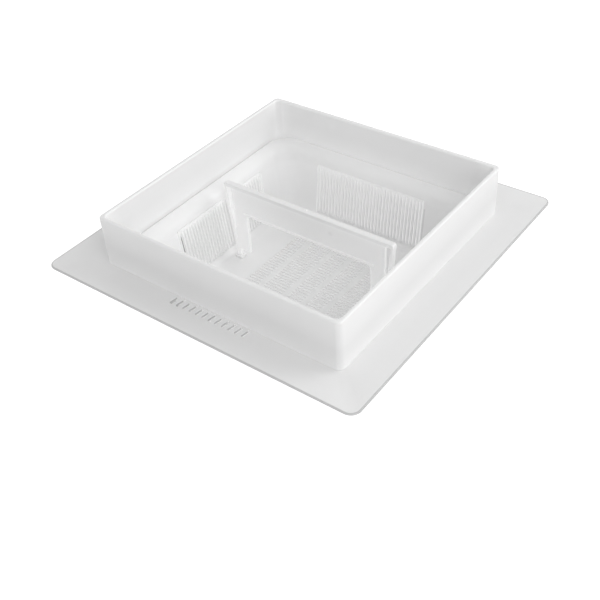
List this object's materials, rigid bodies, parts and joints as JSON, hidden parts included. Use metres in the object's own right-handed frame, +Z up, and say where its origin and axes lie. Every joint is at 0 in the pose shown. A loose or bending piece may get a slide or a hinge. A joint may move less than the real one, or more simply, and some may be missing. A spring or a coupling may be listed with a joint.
{
  "type": "cheese mould",
  "caption": "Square slotted cheese mould: a drained basin, a lift-off filling hood with a wide dished skirt, and a lift-out divider that bridges the middle.",
  "frame": {"origin": "centre of the footprint, at the level the feet stand on", "axes": "+Z up; X runs along the divider, Y across it, and the row of drain slots is on the -Y side"},
  "size_m": [0.323, 0.323, 0.117],
  "materials": {
    "basin_plastic": "satin translucent white polypropylene",
    "strainer_plastic": "satin translucent white, fine slots",
    "socket_plastic": "satin translucent white",
    "foot_plastic": "satin white, slightly scuffed",
    "collar_plastic": "satin translucent white polyethylene",
    "skirt_plastic": "satin translucent white sheet",
    "divider_plastic": "satin translucent white, thin web"
  },
  "bodies": {
    "basin": {"basin_shell": "basin_plastic", "floor_strainer": "strainer_plastic", "rear_strainer": "strainer_plastic", "left_strainer": "strainer_plastic", "front_strainer": "strainer_plastic", "right_strainer": "strainer_plastic", "left_divider_socket": "socket_plastic", "right_divider_socket": "socket_plastic", "front_left_foot": "foot_plastic", "front_right_foot": "foot_plastic", "rear_left_foot": "foot_plastic", "rear_right_foot": "foot_plastic"},
    "hood": {"collar": "collar_plastic", "skirt_plate": "skirt_plastic"},
    "partition": {"divider": "divider_plastic"}
  },
  "joints": [
    {"name": "hood_lift", "type": "slide", "parent": "basin", "child": "hood", "axis": [0, 0, 1], "range_m": [0, 0.05]},
    {"name": "divider_lift", "type": "slide", "parent": "basin", "child": "partition", "axis": [0, 0, 1], "range_m": [0, 0.16]}
  ]
}
